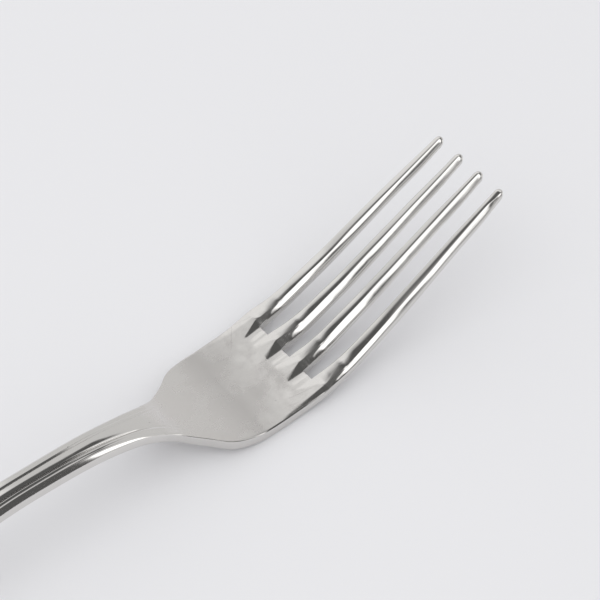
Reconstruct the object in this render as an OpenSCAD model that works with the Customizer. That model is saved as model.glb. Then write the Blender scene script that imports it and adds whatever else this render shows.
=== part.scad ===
// Dinner fork, forged from one bar of stainless steel.
// It lies on a table with its hollow side up: +X runs to the tine tips,
// +Y to the fork's left, +Z up. The origin is on the table under its middle.
// Each module is one region of the forging. Neighbours share a flat face.

/* [Plan] */
// Length from the handle's end to the tine tips
overall_l = 200; // [190:1:212]
// Length of the tines, from the slots' ends to the tips
tine_l = 49; // [44:1:54]
// Length of the plate between the neck and the slots
plate_l = 33; // [30:1:37]
// Length of the neck, where the handle bends down to the plate
neck_l = 27; // [24:1:31]
// Length of the widened end of the handle
end_l = 33; // [28:1:38]
// Length of the round end of the handle, along the handle
cap_l = 12; // [9:0.5:14]
// Widest width of the head, at the slots' ends
head_w = 25.5; // [23:0.5:28]
// Width of each slot at its end
slot_w = 2.8; // [2.2:0.1:3.2]
// Width of a tine just before its tip
tip_w = 2.2; // [1.8:0.1:2.5]
// Distance between the middles of the two inner tines at their tips
inner_gap = 6; // [5.4:0.1:6.6]
// Distance between the middles of the two outer tines at their tips
outer_gap = 18; // [16.8:0.1:19]
// Narrowest width of the handle
stem_w = 6.5; // [6:0.1:7.2]
// Widest width of the handle, near its end
handle_w = 19; // [15:0.5:22]

/* [Side view] */
// Height of the handle's crest above the table
crest_h = 19; // [15:0.5:22]
// Length from the crest to the lowest place of the plate
dip_l = 57; // [53:1:61]
// Length from the lowest place of the plate to the tips
lift_l = 60; // [57:1:64]
// Height of the tine tips above the table
tip_h = 27; // [21:0.5:30]
// Thickness of the plate at its lowest place
bowl_t = 2.7; // [2.3:0.1:3]
// Radius of the underside's curve at its lowest place, seen from the side
belly_r = 60; // [50:1:70]
// Thickness at the slots' ends
root_t = 2.5; // [2.2:0.1:2.7]
// Thickness of the tine tips
tip_t = 1.7; // [1.4:0.1:2]
// Thickness of the neck
neck_t = 3.3; // [3:0.1:3.7]
// Thickness of the handle at its crest
stem_t = 3.4; // [3.1:0.1:4]
// Thickness of the handle's end
end_t = 2.5; // [2.1:0.1:3]
// Length of the flat foot under the handle's end
foot_l = 8; // [5:0.5:10]
// Depth that the foot is ground flat
foot_cut = 0.1; // [0.05:0.05:0.2]
// Height of the handle's crown, from side to side
swell_d = 0.1; // [0.05:0.05:0.2]
// Hollow of the head, from side to side
dish_d = 0.2; // [0.05:0.05:0.4]

/* [Edges and threads] */
// Width of the flat top of the rim along the handle's edge
rim_w = 0.1; // [0.05:0.05:0.3]
// Width of the hollow that rises to the rim
cove_w = 0.8; // [0.7:0.05:1]
// Width of the middle panel's steep flank
flank_w = 0.35; // [0.25:0.05:0.45]
// Depth of the groove at the panel's foot, below the panel's middle
groove_d = 0.5; // [0.3:0.05:0.6]
// Height of the middle panel's crown
crown_d = 0.25; // [0.15:0.05:0.3]
// Depth of the rim's top below the panel's middle
rim_d = 0.12; // [0.05:0.01:0.2]
// Rounding of the handle's sides, measured across
side_w = 0.9; // [0.8:0.05:1.2]
// Rounding of the handle's sides, measured down
side_h = 1.6; // [1.2:0.05:1.8]
// Rounding of the head's top edges
edge_r = 0.35; // [0.2:0.05:0.5]
// Rounding of the bottom edges, measured across
base_r = 0.4; // [0.25:0.05:0.6]
// Depth of the tines' rounded shoulders at their roots
ease_d = 1.25; // [0.8:0.05:1.35]
// Depth of the tines' rounded shoulders further out
ridge_d = 0.7; // [0.5:0.05:1]
// Length of the ramp that leads from the plate into each slot
ramp_l = 4.6; // [3.5:0.1:6]
// Length beyond the slots' ends where the tines reach their full rounding
ease_l = 5; // [3:0.5:8]
// Length of the rounding at each tine's tip
nose_l = 1.1; // [0.8:0.1:1.6]

/* [Hidden] */
steel = "#b9b6b2";

// Places along X
rear_x = -overall_l / 2;
tip_x = overall_l / 2;
slot_x = tip_x - tine_l;
plate_x = slot_x - plate_l;
neck_x = plate_x - neck_l;
end_x = rear_x + end_l;
wide_x = rear_x + cap_l;
bowl_x = tip_x - lift_l;
crest_x = bowl_x - dip_l;
foot_x = rear_x + foot_l;
fall_l = crest_x - rear_x;
belly_l = plate_l / 8;

// The thickness along X
thick_pts = [[rear_x, end_t],
             [end_x, (end_t + stem_t) / 2],
             [crest_x, stem_t],
             [(neck_x + plate_x) / 2, neck_t],
             [plate_x + plate_l / 6, (neck_t + bowl_t) / 2],
             [bowl_x, bowl_t],
             [slot_x, root_t],
             [tip_x, tip_t]];

// The top face, seen from the side, as shares of each stretch and of its rise
fall_at_shares = [0.22, 0.4, 0.65, 0.88, 1];
fall_shares = [0.16, 0.4, 0.73, 0.95, 1];
dip_at_shares = [0.18, 0.32, 0.42, 0.53, 0.61, 0.7, 0.81, 0.93, 1];
dip_shares = [0.96, 0.9, 0.82, 0.68, 0.515, 0.29, 0.12, 0.01, 0];
lift_at_shares = [0.08, 0.18, 0.35, 0.52, 0.68, 0.85, 1];
lift_shares = [0.008, 0.06, 0.17, 0.345, 0.56, 0.79, 1];
top_pts = concat(
    [[rear_x, end_t], [foot_x, curve(thick_pts, foot_x)]],
    [for (i = [0 : len(fall_shares) - 1])
        [rear_x + fall_l * fall_at_shares[i],
         end_t + (crest_h - end_t) * fall_shares[i]]],
    [for (i = [0 : len(dip_shares) - 1])
        [crest_x + dip_l * dip_at_shares[i],
         bowl_t + (crest_h - bowl_t) * dip_shares[i]]],
    [for (i = [0 : len(lift_shares) - 1])
        [bowl_x + lift_l * lift_at_shares[i],
         bowl_t + (tip_h - bowl_t) * lift_shares[i]]]);

// Half of the width along X, from the widest place of the handle to the slots
taper_at_shares = [0, 0.2, 0.42, 0.64, 0.84, 1];
taper_shares = [1, 0.9, 0.52, 0.2, 0.03, 0];
flare_at_shares = [0, 0.36, 0.68, 0.87, 1];
flare_shares = [0, 0.005, 0.03, 0.06, 0.12];
shoulder_at_shares = [0.08, 0.15, 0.22, 0.33, 0.46, 0.62, 0.82, 1];
shoulder_shares = [0.2, 0.34, 0.5, 0.78, 0.91, 0.955, 0.965, 1];
stem_x = neck_x - neck_l / 4;
taper_l = stem_x - wide_x;
flare_l = plate_x - stem_x;
half_pts = concat(
    [for (i = [0 : len(taper_shares) - 1])
        [wide_x + taper_l * taper_at_shares[i],
         (stem_w + (handle_w - stem_w) * taper_shares[i]) / 2]],
    [for (i = [1 : len(flare_shares) - 1])
        [stem_x + flare_l * flare_at_shares[i],
         (stem_w + (head_w - stem_w) * flare_shares[i]) / 2]],
    [for (i = [0 : len(shoulder_shares) - 1])
        [plate_x + plate_l * shoulder_at_shares[i],
         (stem_w + (head_w - stem_w) * shoulder_shares[i]) / 2]]);

// The tines: their widths and their middles, from the slots' ends to the tips
root_w = (head_w - 3 * slot_w) / 4;
slim_at_shares = [0, 0.1, 0.2, 0.37, 0.53, 0.7, 0.86, 0.95, 1];
slim_shares = [1, 0.89, 0.82, 0.73, 0.61, 0.44, 0.27, 0.06, 0];
slim_pts = [for (i = [0 : len(slim_shares) - 1])
    [slot_x + tine_l * slim_at_shares[i],
     (tip_w + (root_w - tip_w) * slim_shares[i]) / 2]];
inner_y = (slot_w + root_w) / 2;
outer_y = 3 * inner_y;
bend_at_shares = [0, 0.2, 0.37, 0.69, 1];
inner_bend_shares = [0, 0.5, 0.74, 0.93, 1];
outer_bend_shares = [0, 0.12, 0.26, 0.6, 1];

// How finely the shapes are cut
arc_n = 4;
rise_n = 3;
panel_n = 3;
cove_n = 3;
side_n = 5;
bar_step = 2.9;
plate_step = 1;
tine_step = 2.4;
least_round = 0.15;
grain = 0.001;

// Value at x on a smooth curve through points p
function find(p, x, i = 0) =
    i >= len(p) - 2 || x < p[i + 1][0] ? i : find(p, x, i + 1);
function slope(p, i) =
    let (a = max(i - 1, 0), b = min(i + 1, len(p) - 1))
    (p[b][1] - p[a][1]) / (p[b][0] - p[a][0]);
function curve(p, x) =
    let (i = find(p, x),
         l = p[i + 1][0] - p[i][0],
         s = min(max((x - p[i][0]) / l, 0), 1),
         m = slope(p, i) * l,
         n = slope(p, i + 1) * l)
    p[i][1] * (1 + 2 * s) * (1 - s) * (1 - s) + m * s * (1 - s) * (1 - s)
    + p[i + 1][1] * s * s * (3 - 2 * s) - n * s * s * (1 - s);
function ramp(x, a, b) = min(max((x - a) / (b - a), 0), 1);
function soft(s) = s * s * (3 - 2 * s);

function top_z(x) = curve(top_pts, x);
function thick(x) = curve(thick_pts, x);
function low_z(x) =
    x < foot_x ? -foot_cut
    : max(top_z(x) - thick(x), pow(min(abs(x - bowl_x), belly_l), 2) / (2 * belly_r));
function cap_share(x) = pow(max(1 - pow(max(wide_x - x, 0) / cap_l, 2.2), 0.015), 1 / 2.2);
function half_w(x) = x < wide_x ? handle_w / 2 * cap_share(x) : curve(half_pts, x);

// Height of the top face at x, y: crowned on the handle, hollow on the head
function hollow(x) =
    (swell_d + dish_d) * soft(ramp(x, plate_x - neck_l / 3, slot_x)) - swell_d;
function face_z(x, y) =
    let (v = hollow(x)) top_z(x) + v * (pow(y / half_w(x), 2) - (v > 0 ? 1 : 0));

// Corner point i of n, from the face (0) round to the side (n).
// a is its size across, d its depth, and b how round it is, from 0 to 1.
function corner(i, n, a, d, b) =
    let (s = i / n, t = 90 * s)
    [a * (b * sin(t) + (1 - b) * s), -d * (b * (1 - cos(t)) + (1 - b) * s)];

// Cross-section of the handle and neck: right half, from the middle outward
function thread_share(x) = 1 - soft(ramp(x, plate_x - neck_l / 3, plate_x + plate_l / 7));
function side_share(x) = 1 - soft(ramp(x, neck_x + neck_l / 2, plate_x + plate_l / 3));
function side_a(x) = edge_r + (side_w - edge_r) * side_share(x);
function side_b(x) = edge_r + (side_h - edge_r) * side_share(x);
function bar_half(x) =
    let (h = half_w(x),
         k = min(1, h / (stem_w / 2)),
         g = thread_share(x) * k,
         r = side_a(x) * k,
         y3 = h - r,
         y2 = y3 - rim_w * k,
         y1 = y2 - cove_w * k,
         w = y1 - flank_w * k,
         b = low_z(x),
         t = top_z(x) - b,
         n = min(side_b(x), (t - rim_d * g) * 0.6),
         q = base_a(x) * k,
         d = min(base_b(x), t * 0.35))
    concat(
        [for (i = [0 : panel_n])
            let (y = w * i / panel_n) [y, face_z(x, y) - crown_d * g * pow(i / panel_n, 2)]],
        [for (i = [0 : cove_n])
            let (u = i / cove_n, y = y1 + (y2 - y1) * u)
            [y, face_z(x, y) - g * (rim_d + (groove_d - rim_d) * (1 - u) * (1 - u / 3))]],
        [for (i = [0 : side_n])
            let (c = corner(i, side_n, r, n, 1), y = y3 + c[0])
            [y, face_z(x, y) - rim_d * g + c[1]]],
        [for (i = [side_n : -1 : 0])
            let (c = corner(i, side_n, q, d, 1)) [h - q + c[0], b - c[1]]]);
function base_a(x) = base_r + (side_w - base_r) * side_share(x);
function base_b(x) = base_r + (side_h - base_r) * side_share(x);

// Cross-section of the plate: right half, with the two slots' ramps cut into it
function slot_share(x) = ramp(x, slot_x - ramp_l, slot_x + ease_l);
function edge_share(x) = ramp(x, slot_x - plate_l / 2, slot_x + ease_l);
function round_share(x) =
    least_round + (1 - least_round) * soft(ramp(x, slot_x, slot_x + ease_l));
function ease_w(x, a) = min(a, root_w / 2) * 0.96;
function plate_half(x) =
    let (h = half_w(x),
         s = slot_share(x),
         e = edge_share(x) * slot_share(slot_x) / edge_share(slot_x),
         b = low_z(x),
         a = ease_w(x, root_w) * max(s, 0.06),
         d = ease_d * s,
         k = h / (head_w / 2),
         y1 = (inner_y - root_w / 2) * k,
         y2 = (inner_y + root_w / 2) * k,
         y3 = (outer_y - root_w / 2) * k,
         ea = side_a(x) + (ease_w(x, root_w) - edge_r) * e,
         ed = side_b(x) + (ease_d - edge_r) * e,
         g = thread_share(x),
         q = base_a(x),
         v = base_b(x))
    concat(
        [[0, face_z(x, 0) - d]],
        [for (i = [rise_n : -1 : 0]) shoulder(x, y1 + a, -1, i, a, d)],
        [for (i = [0 : rise_n]) shoulder(x, y2 - a, 1, i, a, d)],
        [[(y2 + y3) / 2, face_z(x, (y2 + y3) / 2) - d]],
        [for (i = [rise_n : -1 : 0]) shoulder(x, y3 + a, -1, i, a, d)],
        [for (i = [0 : side_n])
            let (c = corner(i, side_n, ea, ed, 1), y = h - ea + c[0])
            [y, face_z(x, y) - rim_d * g + c[1]]],
        [for (i = [side_n : -1 : 0])
            let (c = corner(i, side_n, q, v, 1)) [h - q + c[0], b - c[1]]]);
function shoulder(x, y, side, i, a, d) =
    let (c = corner(i, rise_n, a, d, least_round), v = y + side * c[0])
    [v, face_z(x, v) + c[1]];

// A ring of points round a section that is the same on both sides
function ring(x, half) = concat(
    [for (p = half) [x, p[0], p[1]]],
    [for (i = [len(half) - 1 : -1 : 0]) if (half[i][0] > 0) [x, -half[i][0], half[i][1]]]);

// A tine's cross-section about its own middle
function tine_half(x) = curve(slim_pts, x) * nose_share(x);
function nose_share(x) = sqrt(max(1 - pow(ramp(x, tip_x - nose_l, tip_x) * 0.9, 2), 0));
function inner_mid(x) = mid(x, inner_y, inner_gap / 2, inner_bend_shares);
function outer_mid(x) = mid(x, outer_y, outer_gap / 2, outer_bend_shares);
function mid(x, root, tip, shares) =
    root + (tip - root) * curve([for (i = [0 : len(shares) - 1])
        [slot_x + tine_l * bend_at_shares[i], shares[i]]], x);
// Size across, depth and roundness of a tine's shoulder; out marks the fork's side
function ease_a(x, h, out) = let (e = out ? edge_r : 0) e + (ease_w(x, h) - e) * slot_share(x);
function ease_h(x, t, out) =
    let (e = out ? edge_r : 0) min(e + (shoulder_d(x) - e) * slot_share(x), t * 0.62);
function shoulder_d(x) =
    ease_d + (ridge_d - ease_d) * soft(ramp(x, slot_x + ease_l, slot_x + tine_l / 4));
function ease_b(x, out) = out ? 1 : round_share(x);
function tine_ring(x, y, wing) =
    let (h = tine_half(x),
         f = tip_t * (1 - nose_share(x)) / 2,
         b = low_z(x) + f,
         t = top_z(x) - f - b,
         l = wing < 0,
         r = wing > 0,
         a = ease_a(x, h, l),
         c = ease_a(x, h, r),
         q = min(base_r, h / 2),
         d = min(base_r, t * 0.3),
         m = 2 * rise_n)
    concat(
        [for (i = [m : -1 : 0])
            let (p = corner(i, m, a, ease_h(x, t, l), ease_b(x, l)), v = y - h + a - p[0])
            [x, v, tine_z(x, y, v) - f + p[1]]],
        [for (i = [0 : m])
            let (p = corner(i, m, c, ease_h(x, t, r), ease_b(x, r)), v = y + h - c + p[0])
            [x, v, tine_z(x, y, v) - f + p[1]]],
        [for (i = [arc_n : -1 : 0])
            let (p = corner(i, arc_n, q, d, 1)) [x, y + h - q + p[0], b - p[1]]],
        [for (i = [0 : arc_n])
            let (p = corner(i, arc_n, q, d, 1)) [x, y - h + q - p[0], b - p[1]]]);
// A tine keeps the head's hollow at its root and levels out towards its tip
function tine_z(x, y, v) =
    let (s = soft(ramp(x, slot_x, slot_x + ease_l)))
    face_z(slot_x, y * s + v * (1 - s)) - top_z(slot_x) + top_z(x);

// A closed solid through a list of rings of equal length
module loft(rings) {
    n = len(rings);
    m = len(rings[0]);
    polyhedron(
        points = [for (r = rings) each r],
        faces = concat(
            [for (i = [0 : n - 2]) for (j = [0 : m - 1]) each
                let (a = i * m + j, b = i * m + (j + 1) % m, c = a + m, d = b + m)
                [[a, b, d], [a, d, c]]],
            [[for (j = [m - 1 : -1 : 0]) j], [for (j = [0 : m - 1]) (n - 1) * m + j]]),
        convexity = 8);
}

// Places for the rings, evenly spaced from a to b and about step apart
function stations(a, b, step) =
    let (n = ceil((b - a) / step)) [for (i = [0 : n]) a + (b - a) * i / n];

module handle_end() {
    color(steel)
    difference() {
        loft([for (x = concat(
            [for (i = [0 : 5]) rear_x + cap_l * (1 - cos(15 * i))],
            stations(wide_x, end_x, bar_step)))
            ring(x, bar_half(x))]);
        translate([rear_x - foot_l, -handle_w, -foot_l])
        cube([3 * foot_l, 2 * handle_w, foot_l]);
    }
}

module handle() {
    color(steel)
    loft([for (x = stations(end_x, neck_x, bar_step)) ring(x, bar_half(x))]);
}

module neck() {
    color(steel)
    loft([for (x = stations(neck_x, plate_x, bar_step / 2)) ring(x, bar_half(x))]);
}

module root_plate() {
    color(steel)
    loft([for (x = stations(plate_x, slot_x, plate_step)) ring(x, plate_half(x))]);
}

module inner_tine(side) {
    color(steel)
    loft([for (x = tine_places()) tine_ring(x, side * inner_mid(x), 0)]);
}

module outer_tine(side) {
    color(steel)
    loft([for (x = tine_places()) tine_ring(x, side * outer_mid(x), side)]);
}

// The tines' rings lie closer at the root and at the nose
function tine_places() = concat(
    stations(slot_x, slot_x + ease_l, tine_step / 2),
    [for (x = stations(slot_x + ease_l, tip_x - nose_l, tine_step)) if (x > slot_x + ease_l + grain) x],
    [for (i = [1 : 4]) tip_x - nose_l * (1 - sin(22.5 * i))]);

module tine_outer_left() { outer_tine(1); }

module tine_inner_left() { inner_tine(1); }

module tine_inner_right() { inner_tine(-1); }

module tine_outer_right() { outer_tine(-1); }

handle_end();
handle();
neck();
root_plate();
tine_outer_left();
tine_inner_left();
tine_inner_right();
tine_outer_right();
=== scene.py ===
"""Dinner fork: the look of each region of the forging, its steel, and the table it lies on.

The pieces are worked out in millimetres, from the same named sizes as the solids, and are
turned to metres when a mesh is made. X runs to the tine tips, Y to the fork's left, Z up.
"""

import math

import bmesh
import bpy
from bpy.props import FloatProperty, FloatVectorProperty, PointerProperty
from mathutils import Matrix, Vector


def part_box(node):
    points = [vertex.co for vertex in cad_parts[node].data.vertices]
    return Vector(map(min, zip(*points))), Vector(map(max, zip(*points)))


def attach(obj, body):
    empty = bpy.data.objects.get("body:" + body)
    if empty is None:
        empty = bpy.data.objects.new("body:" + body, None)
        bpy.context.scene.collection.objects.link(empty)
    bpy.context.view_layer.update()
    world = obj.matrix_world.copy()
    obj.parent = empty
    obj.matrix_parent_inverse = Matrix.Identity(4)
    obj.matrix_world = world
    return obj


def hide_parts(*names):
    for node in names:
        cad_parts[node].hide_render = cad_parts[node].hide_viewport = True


bl_info = {
    "name": "Dinner fork",
    "version": (1, 0, 0),
    "blender": (4, 5, 0),
    "location": "3D View > Sidebar > Fork",
    "description": "Builds a stainless steel dinner fork and the table it lies on",
    "category": "Object",
}

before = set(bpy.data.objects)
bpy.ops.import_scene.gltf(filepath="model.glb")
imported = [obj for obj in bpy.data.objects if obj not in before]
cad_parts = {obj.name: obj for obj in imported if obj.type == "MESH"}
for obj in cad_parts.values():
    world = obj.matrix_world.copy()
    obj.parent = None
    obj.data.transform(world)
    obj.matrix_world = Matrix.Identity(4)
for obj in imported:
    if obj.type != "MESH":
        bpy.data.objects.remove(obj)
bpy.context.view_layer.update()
MM = 0.001


def place(node, corner):
    """X of a CAD node's low (0) or high (1) corner, in millimetres."""
    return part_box(node)[corner].x / MM


REAR_X = place("handle_end", 0)
END_X = place("handle_end", 1)
NECK_X = place("neck", 0)
PLATE_X = place("root_plate", 0)
SLOT_X = place("root_plate", 1)
TIP_X = place("tine_outer_left", 1)
PLATE_L, NECK_L = SLOT_X - PLATE_X, PLATE_X - NECK_X
# Lengths of the handle's round end, the foot, the fall to the bowl, the rise to the tips, and a tip.
CAP_L, FOOT_L, DIP_L, LIFT_L, NOSE_L = 12.0, 8.0, 57.0, 60.0, 1.1
WIDE_X, FOOT_X = REAR_X + CAP_L, REAR_X + FOOT_L
BOWL_X = TIP_X - LIFT_L
CREST_X = BOWL_X - DIP_L
# Length of the shoulders' ramps before the slots' ends, and radius of the head's belly.
RAMP_L, BELLY_R = 3.8, 60.0
# Distance between the sections of the head and tines, and of the handle.
RING, BAR_RING = 0.4, 0.7
# The distance within which vertices are merged, and the slack in keeping those on a seam, in metres.
MERGE, SLACK = 5e-7, 1e-6
# Depth of the shoulders that face left as a share of the others', and the least share of a
# shoulder's width.
FAR_SHOULDER, LEAST_SHARE = 0.4, 0.06
# The tines' ground tops: their shift to the left, and the height of their edges for their width.
TOP_SHIFT, EDGE_FORM = 0.22, 1.3
# Lengths past the slots' ends over which the ground tops' edges grow to full size, the head's
# hollow goes out of the tines, and the ground tops take the place of the plate's shoulders.
GROUND_L, HOLLOW_L, CHANGE_L = 6, 4, 1.5
# What the camera looks at, in millimetres, and the width of its sensor.
CAMERA_TARGET, SENSOR = (60.18, 6.44, 6.78), 36
# Strength of the even light, and the lamp's place, aim, width and power.
EVEN_LIGHT = 0.93
LAMP_AT, LAMP_AIM, LAMP_WIDTH, LAMP_POWER = (-0.75, 0.1, 1.3), (0.05, 0, 0), 1.2, 3.0
# How far in from a tine's right and left side its shoulder reaches at the slots' ends.
SHOULDERS = {
    "tine_outer_left": (1.45, 1.8),
    "tine_inner_left": (2.0, 1.8),
    "tine_inner_right": (1.8, 1.8),
    "tine_outer_right": (1.3, 1.8),
}
# The inner and the outer tine on the fork's left (1) and right (-1).
ROOTS = {1: ("tine_inner_left", "tine_outer_left"), -1: ("tine_inner_right", "tine_outer_right")}


# ---------------------------------------------------------------- sizes that a user changes


def size(name, description, default):
    """A property of a length in millimetres."""
    return FloatProperty(name=name, description=description, default=default, unit="CAMERA")


def metres(name, description, default):
    """A property of a length in metres."""
    return FloatProperty(name=name, description=description, default=default, unit="LENGTH")


def angle(name, description, degrees):
    """A property of an angle, with its default in degrees."""
    return FloatProperty(name=name, description=description, default=math.radians(degrees), subtype="ANGLE")


def factor(name, description, default):
    """A property between 0 and 1."""
    return FloatProperty(name=name, description=description, default=default, min=0, max=1, subtype="FACTOR")


def tint(name, description, default):
    """A property of a colour."""
    return FloatVectorProperty(name=name, description=description, default=default, size=3, subtype="COLOR")


class ForkSizes(bpy.types.PropertyGroup):
    """Widths, heights and edges of the fork"""

    head_width: size("Head width", "Widest width of the head", 25.5)
    slot_width: size("Slot width", "Width of each slot at its end", 2.8)
    stem_width: size("Stem width", "Narrowest width of the handle", 6.5)
    handle_width: size("Handle width", "Widest width of the handle", 19.0)
    tip_width: size("Tip width", "Width of a tine just before its tip", 2.2)
    inner_gap: size("Inner gap", "Distance between the inner tines' middles at their tips", 6.0)
    outer_gap: size("Outer gap", "Distance between the outer tines' middles at their tips", 18.0)
    crest: size("Crest", "Height of the handle's crest above the table", 19.0)
    tip_height: size("Tip height", "Height of the tine tips above the table", 27.0)
    bowl_thick: size("Bowl thickness", "Thickness of the plate at its lowest place", 2.7)
    root_thick: size("Root thickness", "Thickness at the slots' ends", 2.5)
    tip_thick: size("Tip thickness", "Thickness of the tine tips", 1.7)
    neck_thick: size("Neck thickness", "Thickness of the neck", 3.3)
    stem_thick: size("Stem thickness", "Thickness of the handle at its crest", 3.4)
    end_thick: size("End thickness", "Thickness of the handle's end", 2.5)
    swell: size("Swell", "Height of the handle's crown from side to side", 0.1)
    dish: size("Dish", "Hollow of the head from side to side", 0.2)
    rim: size("Rim", "Width of the rim along the handle's edge", 0.9)
    cove: size("Cove", "Width of the hollow that rises to the rim", 0.42)
    flank: size("Flank", "Width of the middle panel's steep flank", 0.2)
    groove: size("Groove", "Depth of the groove below the panel's middle", 0.42)
    crown: size("Crown", "Height of the middle panel's crown", 0.13)
    bead: size("Bead", "Height of the fine bead inside the rim", 0.12)
    line: size("Line", "Width of the bead's outer face", 0.26)
    rim_depth: size("Rim depth", "Depth of the rim below the panel's middle", 0.12)
    side_width: size("Side width", "Rounding of the handle's sides, measured across", 0.92)
    side_height: size("Side height", "Rounding of the handle's sides, measured down", 1.15)
    edge: size("Edge", "Rounding of the head's top edges", 0.35)
    base: size("Base", "Rounding of the bottom edges", 0.4)
    ease: factor("Ease", "Fall of the sloping shoulders beside the slots' ends", 0.23)


class SteelFinish(bpy.types.PropertyGroup):
    """Colour and wear of the steel"""

    colour: tint("Colour", "Colour of the clean steel", (0.71, 0.695, 0.675))
    worn_colour: tint("Worn colour", "Colour where the steel is dull", (0.735, 0.71, 0.69))
    gloss: factor("Roughness", "Roughness of the polished handle and tines", 0.08)
    satin: factor("Satin roughness", "Roughness of the dull patches", 0.3)
    scratch: size("Scratch depth", "Depth of the fine scratches", 0.0025)


class StageSizes(bpy.types.PropertyGroup):
    """The table and the camera"""

    table_colour: tint("Table colour", "Colour of the table top", (0.79, 0.79, 0.81))
    lens: size("Lens", "Focal length of the camera", 117.25)
    reach: metres("Reach", "Half of the table's width", 3.0)
    distance: metres("Distance", "Distance from the camera to what it looks at", 0.40137)
    azimuth: angle("Azimuth", "Direction of the camera round the fork", -39.19)
    elevation: angle("Elevation", "Angle of the camera above the table", 53.83)
    roll: angle("Roll", "Turn of the camera round its own line of sight", -0.09)


# ---------------------------------------------------------------- smooth curves


def curve(points, x):
    """Value at x on a smooth curve through points."""
    i = 0
    while i < len(points) - 2 and x >= points[i + 1][0]:
        i += 1

    def slope(j):
        a, b = max(j - 1, 0), min(j + 1, len(points) - 1)
        return (points[b][1] - points[a][1]) / (points[b][0] - points[a][0])

    length = points[i + 1][0] - points[i][0]
    s = min(max((x - points[i][0]) / length, 0), 1)
    m, n = slope(i) * length, slope(i + 1) * length
    return (
        points[i][1] * (1 + 2 * s) * (1 - s) ** 2
        + m * s * (1 - s) ** 2
        + points[i + 1][1] * s * s * (3 - 2 * s)
        - n * s * s * (1 - s)
    )


def ramp(x, a, b):
    """0 up to a, 1 from b on, and an even rise between them."""
    return min(max((x - a) / (b - a), 0), 1)


def soft(s):
    """A rise from 0 to 1 that starts and ends level."""
    return s * s * (3 - 2 * s)


def rise(x, a, b):
    """0 up to a, 1 from b on, and a smooth rise between them."""
    return soft(ramp(x, a, b))


def mix(a, b, s):
    """The value at a share s of the way from a to b."""
    return a + (b - a) * s


def corner(s, across, down, roundness):
    """A place on a corner, across and up, from the face (s 0) round to the side (s 1)."""
    t = math.pi / 2 * s
    return (
        across * (roundness * math.sin(t) + (1 - roundness) * s),
        -down * (roundness * (1 - math.cos(t)) + (1 - roundness) * s),
    )


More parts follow.
